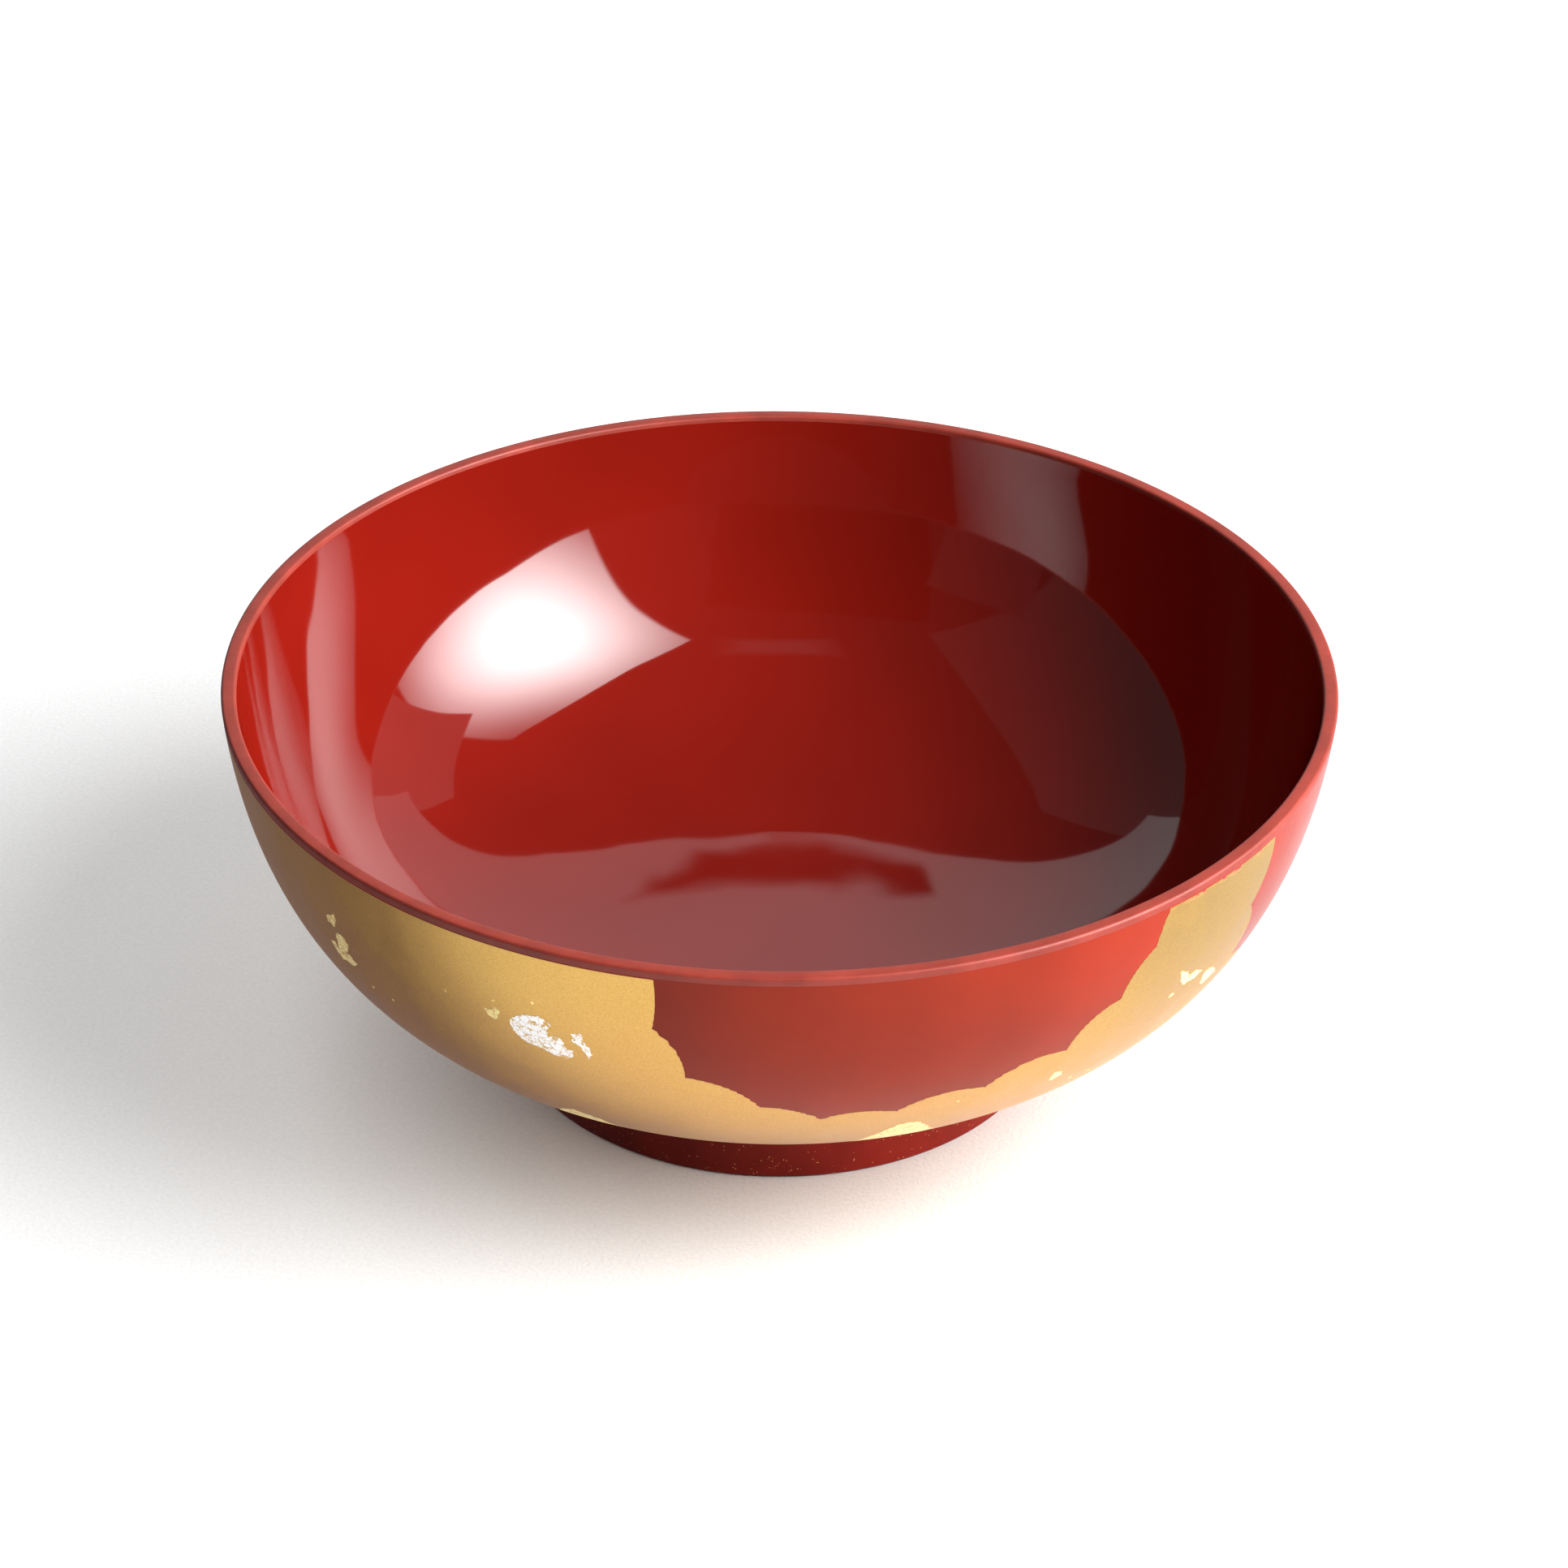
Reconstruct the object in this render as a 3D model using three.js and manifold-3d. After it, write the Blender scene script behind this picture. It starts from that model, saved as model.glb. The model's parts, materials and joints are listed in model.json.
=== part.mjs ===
// Lacquered wooden bowl: a turned wood core with a foot ring, red lacquer coats, a scalloped gold
// cloud ground round the outside, and torn scraps of gold and silver leaf laid on the ground.
// Millimetres, +Z up. The origin is the middle of the circle that the foot stands on.
// Azimuth is counted in degrees from -Y towards +X.

import * as THREE from 'three';
import { mergeVertices } from 'three/addons/utils/BufferGeometryUtils.js';
import Module from 'manifold-3d';

// Bowl
const RIM_RADIUS = 90;
const HEIGHT = 69;
const LIP_WIDTH = 2.4;
const LIP_EDGE = 0.5;
const LIP_BAND = 1.4;
const LIP_BAND_INSIDE = 0.9;
const FLOOR_THICKNESS = 5.9;

// Foot ring
const FOOT_RADIUS = 45.4;
const FOOT_TAPER = 0.7;
const FOOT_HEIGHT = 13.5;
const FOOT_RING_WIDTH = 5.4;
const FOOT_EDGE = 0.8;
const RECESS_DEPTH = 10.5;
const RECESS_DRAFT = 1.6;

// Wall curves: the slope at each end, and how far each end's slope carries into the curve
const BELLY_SLOPE = 11;
const BELLY_REACH = 0.658;
const RIM_SLOPE = 84;
const RIM_REACH = 0.52;
const INSIDE_RIM_SLOPE = 80;
const INSIDE_RIM_REACH = 0.88;
const INSIDE_FLOOR_REACH = 0.68;

// Coats, and the glue line left between neighbouring bodies
const COAT = 0.4;
const GROUND = 0.15;
const LEAF = 0.1;
const BOND = 0.03;
const GROUND_BELOW_BAND = 0.3;
const GROUND_ABOVE_FOOT = 0.6;

// Fineness of the turned surfaces
const SEGMENTS = 48;
const WALL_ROWS = 9;

// Outlines are drawn on the wall unrolled at this radius. They are listed by azimuth and by height in
// percent of the wall, from the foot at 0 to the lip at 100.
const UNROLL_RADIUS = RIM_RADIUS - 6;

// Red windows in the gold ground, from just over the lip. Each row is a point where two scallops of
// the ground meet, and the swell of the scallop that ends there as a share of its width.
const WINDOWS = [
  [
    [-12, 104, 0],
    [-12.1, 79, 0.05],
    [-9.2, 61, 0.12],
    [-1.6, 49, 0.13],
    [4.8, 42, 0.1],
    [13.1, 43, 0.11],
    [22.7, 47, 0.15],
    [31.6, 55, 0.17],
    [36.8, 70, 0.16],
    [40, 85, 0.1],
    [42.2, 104, 0.05],
  ],
  [
    [57.6, 104, 0],
    [56.4, 76, 0.12],
    [57.6, 55, 0.14],
    [63.5, 42, 0.15],
    [72, 37, 0.14],
    [81.5, 40, 0.13],
    [91, 37, 0.14],
    [100.5, 45, 0.15],
    [107, 59, 0.16],
    [111, 77, 0.13],
    [113, 104, 0.06],
  ],
  [
    [168, 104, 0],
    [168.6, 80, 0.07],
    [172, 63, 0.13],
    [180, 52, 0.14],
    [189.5, 54, 0.12],
    [197, 45, 0.14],
    [206.5, 44, 0.13],
    [215.5, 53, 0.16],
    [221, 69, 0.15],
    [223.5, 85, 0.1],
    [225, 104, 0.05],
  ],
];

// Leaf scraps, each a torn outline
const SILVER = 0xe6e4e2;
const PALE_GOLD = 0xe9d58f;
const SCRAPS = [
  { name: 'silver_leaf_patch', color: SILVER, outline: [
    [-27.3, 70], [-26.6, 73], [-24.9, 75], [-23.4, 75], [-22.7, 73], [-23.4, 69],
    [-22, 69], [-21.3, 65], [-20.7, 64], [-21.2, 61], [-23, 61], [-25.6, 63],
    [-27, 66],
  ] },
  { name: 'silver_leaf_scrap', color: SILVER, outline: [
    [-20.5, 71], [-19.6, 73], [-19.2, 69], [-18.6, 66], [-18.8, 62], [-19.4, 65],
    [-20.3, 68],
  ] },
  { name: 'gold_leaf_beside_silver', color: PALE_GOLD, outline: [
    [-30.3, 73], [-29.5, 72], [-28.9, 74], [-28.4, 73], [-29, 69], [-29.8, 70],
  ] },
  { name: 'gold_leaf_left_spot', color: PALE_GOLD, outline: [
    [-52, 78], [-50.5, 80], [-50.2, 77], [-51.1, 74], [-52.2, 75],
  ] },
  { name: 'gold_leaf_left_torn', color: PALE_GOLD, outline: [
    [-53.2, 66], [-51.9, 66], [-51.2, 72], [-49.8, 72], [-49.4, 69], [-50.1, 66],
    [-48.9, 63], [-50.3, 60], [-52.3, 59], [-52.9, 62],
  ] },
  { name: 'gold_leaf_right_torn', color: PALE_GOLD, outline: [
    [45.4, 68], [46.8, 66], [47.5, 64], [49, 64], [50, 61], [49.1, 60],
    [47.1, 60], [46, 64],
  ] },
  { name: 'gold_leaf_right_shard', color: PALE_GOLD, outline: [
    [51.3, 59], [52.8, 58], [54.6, 54], [52.6, 51], [51.7, 53], [51.1, 57],
  ] },
  { name: 'gold_leaf_belly_shard', color: PALE_GOLD, outline: [
    [31.6, 44], [32.9, 43], [33.2, 41], [32.2, 39], [31.6, 40],
  ] },
  { name: 'gold_leaf_foot_front', color: PALE_GOLD, outline: [
    [9.6, 19], [11.8, 27], [14.1, 33], [16.5, 33], [18.3, 28], [19.8, 22],
    [17, 15], [12.6, 13],
  ] },
  { name: 'gold_leaf_foot_left', color: PALE_GOLD, outline: [
    [-28.6, 21], [-27, 26], [-24.4, 30], [-21.6, 27], [-20.2, 19], [-24.6, 15],
  ] },
  { name: 'gold_leaf_back_torn', color: PALE_GOLD, outline: [
    [141, 76], [143.4, 79], [145.8, 74], [148.2, 76], [147.6, 66], [144.6, 62],
    [142.2, 67],
  ] },
  { name: 'gold_leaf_back_shard', color: PALE_GOLD, outline: [
    [243, 61], [245.2, 68], [247.4, 66], [246.6, 58], [244.2, 56],
  ] },
];

const LACQUER_RED = 0xb3261b;
const LIP_RED = 0x9c4038;
const FOOT_RED = 0x7a1c15;
const GOLD = 0xd9a85c;
const WOOD = 0xc09a6b;

const wasm = await Module();
wasm.setup();

const radians = THREE.MathUtils.degToRad;
const point = (x, y) => new THREE.Vector2(x, y);

// A mesh of the given name and finish.
function piece(name, geometry, color, roughness, metalness) {
  geometry.computeVertexNormals();
  const material = new THREE.MeshStandardMaterial({ color, roughness, metalness });
  const mesh = new THREE.Mesh(geometry, material);
  mesh.name = name;
  return mesh;
}

// A geometry with only its positions, and each shared corner held once.
function merged(geometry) {
  geometry.deleteAttribute('normal');
  geometry.deleteAttribute('uv');
  return mergeVertices(geometry);
}

// A solid turned about the Z axis from a profile of radius and height.
function turned(profile) {
  const geometry = new THREE.LatheGeometry(profile, SEGMENTS);
  geometry.rotateX(Math.PI / 2);
  return merged(geometry);
}

// A geometry as a solid that can be cut.
function solid(geometry) {
  const vertProperties = new Float32Array(geometry.getAttribute('position').array);
  const triVerts = new Uint32Array(geometry.index.array);
  return new wasm.Manifold(new wasm.Mesh({ numProp: 3, vertProperties, triVerts }));
}

// A cut solid back as a geometry.
function geometryOf(made) {
  const { vertProperties, triVerts } = made.getMesh();
  const geometry = new THREE.BufferGeometry();
  geometry.setAttribute('position', new THREE.BufferAttribute(vertProperties, 3));
  geometry.setIndex(new THREE.BufferAttribute(triVerts, 1));
  return geometry;
}

// A curve that leaves its start at one slope and reaches its end at another, in degrees.
function wallCurve(start, startSlope, startReach, end, endSlope, endReach) {
  const from = point(Math.cos(radians(startSlope)), Math.sin(radians(startSlope)));
  const to = point(Math.cos(radians(endSlope)), Math.sin(radians(endSlope)));
  return new THREE.CubicBezierCurve(
    start,
    start.clone().addScaledVector(from, startReach),
    end.clone().addScaledVector(to, -endReach),
    end,
  ).getPoints(WALL_ROWS);
}

// The surface of the bowl as one line of radius and height, from the middle of its floor over the
// lip and under the foot to the middle of the underside, and where each coat's stretch of it ends.
function bowlSurface() {
  const floorHeight = RECESS_DEPTH + FLOOR_THICKNESS;
  const insideRadius = RIM_RADIUS - LIP_WIDTH;
  const recessRadius = FOOT_RADIUS - FOOT_RING_WIDTH;
  const insideBand = point(
    insideRadius - (LIP_BAND_INSIDE - LIP_EDGE) / Math.tan(radians(INSIDE_RIM_SLOPE)),
    HEIGHT - LIP_BAND_INSIDE,
  );
  const outsideBand = point(
    RIM_RADIUS - (LIP_BAND - LIP_EDGE) / Math.tan(radians(RIM_SLOPE)),
    HEIGHT - LIP_BAND,
  );
  const neck = point(FOOT_RADIUS - FOOT_TAPER, FOOT_HEIGHT);
  const recessCorner = point(recessRadius - RECESS_DRAFT, RECESS_DEPTH);

  const line = wallCurve(
    point(0, floorHeight), 0, INSIDE_FLOOR_REACH * insideBand.x,
    insideBand, INSIDE_RIM_SLOPE, INSIDE_RIM_REACH * (insideBand.y - floorHeight),
  );
  const insideEnd = line.length - 1;
  line.push(
    point(insideRadius, HEIGHT - LIP_EDGE),
    point(insideRadius + LIP_EDGE, HEIGHT),
    point(RIM_RADIUS - LIP_EDGE, HEIGHT),
    point(RIM_RADIUS, HEIGHT - LIP_EDGE),
  );
  const lipEnd = line.length;
  line.push(...wallCurve(
    neck, BELLY_SLOPE, BELLY_REACH * (outsideBand.x - neck.x),
    outsideBand, RIM_SLOPE, RIM_REACH * (outsideBand.y - neck.y),
  ).reverse());
  const outsideEnd = line.length - 1;
  line.push(
    point(FOOT_RADIUS, FOOT_EDGE),
    point(FOOT_RADIUS - FOOT_EDGE, 0),
    point(recessRadius + FOOT_EDGE, 0),
    point(recessRadius, FOOT_EDGE),
    recessCorner,
  );
  const footEnd = line.length - 1;
  line.push(point(0, RECESS_DEPTH));
  return { line, insideEnd, lipEnd, outsideEnd, footEnd };
}

// The unit vector into the bowl's material, to the right of the way from one point to the next.
function inward(from, to) {
  const along = to.clone().sub(from).normalize();
  return point(along.y, -along.x);
}

// The surface line moved a distance into the material, or out of it where the distance is negative.
// Its corners are mitred and its two ends stay on the axis.
function offsetLine(line, distance) {
  const last = line.length - 1;
  return line.map((at, index) => {
    const before = inward(line[Math.max(index - 1, 0)], line[Math.max(index, 1)]);
    const after = inward(line[Math.min(index, last - 1)], line[Math.min(index + 1, last)]);
    const mitre = before.clone().add(after).normalize();
    const moved = at.clone().addScaledVector(mitre, distance / mitre.dot(after));
    if (index === 0 || index === last) {
      moved.x = 0;
    }
    return moved;
  });
}

// A line made shorter at each end that isn't on the axis.
function trimmed(line, fromStart, fromEnd) {
  const cut = line.map((at) => at.clone());
  const last = line.length - 1;
  if (line[0].x > 0) {
    cut[0].addScaledVector(line[1].clone().sub(line[0]).normalize(), fromStart);
  }
  if (line[last].x > 0) {
    cut[last].addScaledVector(line[last - 1].clone().sub(line[last]).normalize(), fromEnd);
  }
  return cut;
}

// The profile between two lines that run the same way down the bowl, the outer one first. It starts
// and ends on the axis where the lines reach it, and closes on itself elsewhere.
function between(outer, inner) {
  const back = [...outer].reverse();
  if (outer[0].x === 0) {
    return [...inner, ...back];
  }
  const profile = [...back, ...inner];
  if (profile[0].x > 0) {
    profile.push(profile[0].clone());
  }
  return profile;
}

// The prism of an unrolled outline, wrapped round the bowl from one radius to another.
function wrapped(shape, innerRadius, outerRadius) {
  const geometry = new THREE.ExtrudeGeometry(shape, {
    depth: outerRadius - innerRadius,
    bevelEnabled: false,
    curveSegments: 4,
  });
  const position = geometry.getAttribute('position');
  for (let index = 0; index < position.count; index += 1) {
    const azimuth = position.getX(index) / UNROLL_RADIUS;
    const radius = innerRadius + position.getZ(index);
    const height = position.getY(index);
    position.setXYZ(index, radius * Math.sin(azimuth), -radius * Math.cos(azimuth), height);
  }
  return merged(geometry);
}

// A place on the unrolled wall.
function unrolled(azimuth, percent) {
  const height = FOOT_HEIGHT + (HEIGHT - FOOT_HEIGHT) * percent / 100;
  return point(radians(azimuth) * UNROLL_RADIUS, height);
}

// The outline of a red window: scallops of the gold ground swell into it between its points.
function windowShape(rows) {
  const shape = new THREE.Shape();
  let from = unrolled(rows[0][0], rows[0][1]);
  shape.moveTo(from.x, from.y);
  for (const [azimuth, percent, swell] of rows.slice(1)) {
    const to = unrolled(azimuth, percent);
    const middle = from.clone().add(to).multiplyScalar(0.5);
    const across = to.clone().sub(from);
    const control = middle.add(point(-across.y, across.x).multiplyScalar(2 * swell));
    shape.quadraticCurveTo(control.x, control.y, to.x, to.y);
    from = to;
  }
  shape.closePath();
  return shape;
}

// The outline of a torn scrap of leaf.
function scrapShape(outline) {
  return new THREE.Shape(outline.map(([azimuth, percent]) => unrolled(azimuth, percent)));
}

const { line, insideEnd, lipEnd, outsideEnd, footEnd } = bowlSurface();
const underCoat = offsetLine(line, COAT);
const lastPoint = line.length - 1;

// One coat over a stretch of the surface, with half a glue line left at each of its ends.
function coat(from, to) {
  const outer = trimmed(line.slice(from, to + 1), BOND / 2, BOND / 2);
  const inner = trimmed(underCoat.slice(from, to + 1), BOND / 2, BOND / 2);
  return between(outer, inner);
}

// A skin over the outer wall, from one distance outside the lacquer to another.
function wallSkin(nearDistance, farDistance) {
  const far = offsetLine(line, -farDistance).slice(lipEnd, outsideEnd + 1);
  const near = offsetLine(line, -nearDistance).slice(lipEnd, outsideEnd + 1);
  return between(
    trimmed(far, GROUND_BELOW_BAND, GROUND_ABOVE_FOOT),
    trimmed(near, GROUND_BELOW_BAND, GROUND_ABOVE_FOOT),
  );
}

const woodProfile = offsetLine(line, COAT + BOND).reverse();

// The gold ground is a skin over the whole outer wall, with the red windows cut out of it.
const cutterInner = 0.5 * RIM_RADIUS;
const cutterOuter = 1.5 * RIM_RADIUS;
let ground = solid(turned(wallSkin(BOND, BOND + GROUND)));
for (const rows of WINDOWS) {
  ground = ground.subtract(solid(wrapped(windowShape(rows), cutterInner, cutterOuter)));
}

// Leaf lies on the ground, a glue line outside it.
const leafNear = BOND + GROUND + BOND;
const leafSkin = solid(turned(wallSkin(leafNear, leafNear + LEAF)));

const bowl = new THREE.Group();
bowl.add(
  piece('wood_core', turned(woodProfile), WOOD, 0.7, 0),
  piece('inner_lacquer', turned(coat(0, insideEnd)), LACQUER_RED, 0.08, 0),
  piece('rim_lacquer', turned(coat(insideEnd, lipEnd)), LIP_RED, 0.35, 0),
  piece('outer_lacquer', turned(coat(lipEnd, outsideEnd)), LACQUER_RED, 0.25, 0),
  piece('foot_lacquer', turned(coat(outsideEnd, footEnd)), FOOT_RED, 0.5, 0),
  piece('base_lacquer', turned(coat(footEnd, lastPoint)), FOOT_RED, 0.5, 0),
  piece('gold_ground', geometryOf(ground), GOLD, 0.4, 0.7),
);
for (const { name, color, outline } of SCRAPS) {
  const prism = solid(wrapped(scrapShape(outline), cutterInner, cutterOuter));
  bowl.add(piece(name, geometryOf(leafSkin.intersect(prism)), color, 0.3, 0.8));
}

export default bowl;
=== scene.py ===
import json
import math
import random

import bpy
from bpy.props import FloatProperty, FloatVectorProperty, IntProperty, PointerProperty
from bpy.types import Operator, Panel, PropertyGroup
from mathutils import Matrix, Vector

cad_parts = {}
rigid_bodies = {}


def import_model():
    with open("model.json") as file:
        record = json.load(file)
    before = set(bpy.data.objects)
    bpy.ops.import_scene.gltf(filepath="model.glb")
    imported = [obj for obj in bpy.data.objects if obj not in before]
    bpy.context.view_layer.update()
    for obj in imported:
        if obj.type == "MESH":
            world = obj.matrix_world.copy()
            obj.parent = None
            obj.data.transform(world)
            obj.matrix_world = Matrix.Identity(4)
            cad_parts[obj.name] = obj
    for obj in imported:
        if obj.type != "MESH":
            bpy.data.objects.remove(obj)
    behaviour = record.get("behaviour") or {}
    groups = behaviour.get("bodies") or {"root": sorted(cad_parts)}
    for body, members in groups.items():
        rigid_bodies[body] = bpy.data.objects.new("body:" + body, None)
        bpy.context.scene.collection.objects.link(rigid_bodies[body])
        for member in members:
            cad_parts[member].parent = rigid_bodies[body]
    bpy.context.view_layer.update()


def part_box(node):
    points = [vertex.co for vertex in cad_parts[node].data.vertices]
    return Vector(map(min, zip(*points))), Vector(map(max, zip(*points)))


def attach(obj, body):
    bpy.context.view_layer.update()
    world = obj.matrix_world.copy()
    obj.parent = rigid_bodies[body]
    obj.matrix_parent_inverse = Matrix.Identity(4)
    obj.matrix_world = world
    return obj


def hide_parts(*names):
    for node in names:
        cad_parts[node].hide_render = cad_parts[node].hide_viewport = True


bl_info = {
    "name": "Lacquered footed bowl",
    "version": (1, 0, 0),
    "blender": (4, 5, 0),
    "location": "3D View > Sidebar > Bowl",
    "description": "A red lacquer bowl with a scalloped gold ground and torn scraps of leaf",
    "category": "Add Mesh",
}

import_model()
RIM_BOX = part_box("rim_lacquer")
FOOT_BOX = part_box("foot_lacquer")
MM = 0.001
BOWL_MIDDLE = Vector((0, 0, 0.04))
WELD = 0.001 * MM
BOND = 0.03 * MM
SMOOTH = math.radians(35)

# Azimuth is counted in degrees from -Y towards +X, and heights here are in millimetres.
# The foot meets the wall at FOOT_LINE. Outlines are drawn on the wall unrolled at the radius
# UNROLLED.
FOOT_LINE = 13.5
UNROLLED = 84.0

# The curves of the wall: the slope at each end in degrees, how far each end's slope carries into
# the curve as a share of the curve's width or height, and the number of rows.
INSIDE_SLOPE = 80
INSIDE_REACH = 0.88
INSIDE_ROWS = 64
FLOOR_REACH = 0.68
OUTSIDE_SLOPE = 84
OUTSIDE_REACH = 0.52
OUTSIDE_ROWS = 56
BELLY_SLOPE = 11
BELLY_REACH = 0.658

# Torn edges go in steps of this many millimetres. Scraps are cut out of a skin with this many
# steps to a full turn, which runs this far past the scrap.
TORN_STEP = 0.45
SKIN_ROUNDS = 720
SKIN_MARGIN = 3 * MM

# Red windows in the gold ground. Each row is a point where two scallops of the ground meet:
# azimuth, height, and the swell of the scallop that ends there as a share of its width.
WINDOWS = {
    "front": (
        (-12.0, 71.0, 0), (-12.1, 57.5, 0.05), (-9.2, 47.2, 0.12), (-1.6, 40.6, 0.13),
        (4.8, 36.8, 0.10), (13.1, 37.2, 0.11), (22.7, 39.8, 0.15), (31.6, 43.8, 0.17),
        (36.8, 52.2, 0.16), (40.0, 60.6, 0.10), (42.2, 71.0, 0.05),
    ),
    "right": (
        (57.6, 71.0, 0), (56.4, 55.7, 0.12), (57.6, 44.0, 0.14), (63.5, 36.8, 0.15),
        (72.0, 34.0, 0.14), (81.5, 35.7, 0.13), (91.0, 34.0, 0.14), (100.5, 38.5, 0.15),
        (107.0, 46.2, 0.16), (111.0, 56.2, 0.13), (113.0, 71.0, 0.06),
    ),
    "back": (
        (168.0, 71.0, 0), (168.6, 57.9, 0.07), (172.0, 48.5, 0.13), (180.0, 42.4, 0.14),
        (189.5, 43.5, 0.12), (197.0, 38.5, 0.14), (206.5, 37.9, 0.13), (215.5, 42.9, 0.16),
        (221.0, 51.8, 0.15), (223.5, 60.7, 0.10), (225.0, 71.0, 0.05),
    ),
}

# Torn scraps of leaf: the finish, how ragged the tear is in millimetres, and the outline by
# azimuth and height.
SCRAPS = {
    "silver_leaf_patch": ("silver", 0.18, (
        (-27.4, 53.0), (-26.8, 53.8), (-25.8, 54.9), (-24.9, 55.2), (-23.9, 55.4),
        (-23.3, 55.1), (-22.7, 53.9), (-23.2, 53.1), (-23.3, 51.4), (-22.6, 51.9),
        (-22.0, 51.8), (-21.6, 50.7), (-21.4, 49.4), (-20.7, 49.3), (-20.9, 47.8),
        (-21.7, 47.1), (-22.9, 47.3), (-24.1, 48.1), (-25.6, 48.4), (-26.5, 49.3),
        (-27.2, 50.6),
    )),
    "silver_leaf_scrap": ("silver", 0.18, (
        (-20.6, 53.3), (-19.6, 53.8), (-19.3, 51.8), (-18.7, 50.6), (-18.7, 49.3),
        (-19.2, 47.9), (-19.3, 49.5), (-19.9, 50.9), (-20.5, 51.5),
    )),
    "gold_leaf_beside_silver": ("gold", 0.18, (
        (-30.3, 53.8), (-29.5, 53.6), (-28.9, 54.7), (-28.4, 54.2), (-29.0, 51.8),
        (-29.8, 52.4),
    )),
    "gold_leaf_left_spot": ("gold", 0.18, (
        (-51.8, 56.4), (-50.3, 57.7), (-50.1, 56.3), (-51.1, 54.5), (-52.2, 54.9),
    )),
    "gold_leaf_left_torn": ("gold", 0.18, (
        (-53.2, 50.0), (-52.3, 50.5), (-52.1, 48.6), (-51.2, 52.9), (-50.9, 53.5),
        (-49.7, 53.4), (-49.4, 52.2), (-50.2, 49.8), (-49.6, 49.2), (-48.9, 48.4),
        (-50.1, 47.1), (-51.2, 47.1), (-52.3, 46.4), (-52.8, 47.7),
    )),
    "gold_leaf_right_torn": ("gold", 0.18, (
        (45.4, 51.2), (46.8, 50.0), (47.4, 48.7), (49.0, 48.7), (50.0, 47.5),
        (49.1, 46.8), (47.1, 47.0), (46.0, 49.0),
    )),
    "gold_leaf_right_shard": ("gold", 0.18, (
        (51.3, 46.3), (52.7, 45.8), (54.6, 43.2), (52.6, 42.1), (51.8, 42.8),
        (51.1, 45.2),
    )),
    "gold_leaf_belly_shard": ("gold", 0.18, (
        (31.6, 37.8), (32.8, 37.4), (33.1, 36.2), (32.2, 35.4), (31.7, 35.8),
    )),
    "gold_leaf_foot_front": ("gold", 0.18, (
        (9.6, 23.9), (11.8, 28.5), (13.0, 30.5), (14.1, 32.1), (15.1, 32.5),
        (16.5, 32.1), (17.6, 30.1), (19.8, 26.0), (17.2, 21.8), (12.6, 20.8),
    )),
    "gold_leaf_foot_left": ("gold", 0.18, (
        (-28.6, 25.2), (-27.0, 28.0), (-24.4, 30.2), (-21.6, 28.5), (-20.2, 24.0),
        (-24.6, 21.8),
    )),
    "gold_leaf_back_torn": ("gold", 0.45, (
        (141.0, 55.7), (143.4, 57.3), (145.8, 54.6), (148.2, 55.7), (147.6, 50.1),
        (144.6, 47.9), (142.2, 50.7),
    )),
    "gold_leaf_back_shard": ("gold", 0.45, (
        (243.0, 47.4), (245.2, 51.2), (247.4, 50.1), (246.6, 45.7), (244.2, 44.6),
    )),
}

# Loose flecks of gold leaf: azimuth, height and width.
FLECKS = (
    (-47.7, 44.4, 0.7), (-44.6, 44.3, 0.5), (-34.9, 54.1, 0.7), (-28.9, 56.0, 0.6),
    (-24.3, 58.0, 0.6), (35.6, 33.0, 0.8), (38.4, 32.6, 0.7), (40.7, 29.5, 0.9),
    (20.0, 37.2, 0.6), (45.6, 45.9, 1.1), (152.0, 47.0, 0.8), (238.0, 52.0, 0.8),
)

# Panels that the lacquer mirrors: name, width, height, azimuth, elevation, distance, strength,
# and the share of the panel over which its edges fade.
PANELS = (
    ("white_backdrop", 1.1, 0.45, 176, 20, 0.64, 0.88, 0.0),
    ("grey_card", 1.1, 0.84, -102, 32, 0.7, 0.16, 0.0),
    ("dark_card", 1.0, 0.8, -10, 27, 1.1, 0.01, 0.0),
    ("small_dark_card", 0.016, 0.05, 180.3, 36.3, 0.655, 0.03, 0.25),
    ("grey_card_side", 0.32, 0.32, -50, 16, 0.75, 0.12, 0.0),
    ("high_patch", 0.36, 0.16, 2, 68, 0.8, 0.3, 0.3),
    ("right_card", 0.43, 0.62, 124, 22, 0.8, 0.42, 0.0),
)
SKY = 0.055
CARD_HEIGHT = 0.2 * MM
CLOTH_EDGE = 0.02
LENS = 111.9
EYE = (0.0008, -0.6799, 0.4683)
EYE_TILT = 58.2
EYE_ROLL = 0.43


def length(name, description, default):
    """A size that a user would change, in metres."""
    return FloatProperty(
        name=name, description=description, default=default, min=0.0, unit="LENGTH", precision=5
    )


def colour(name, description, default):
    """A colour that a user would change."""
    return FloatVectorProperty(
        name=name, description=description, default=default, subtype="COLOR", size=3, min=0, max=1
    )


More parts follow.
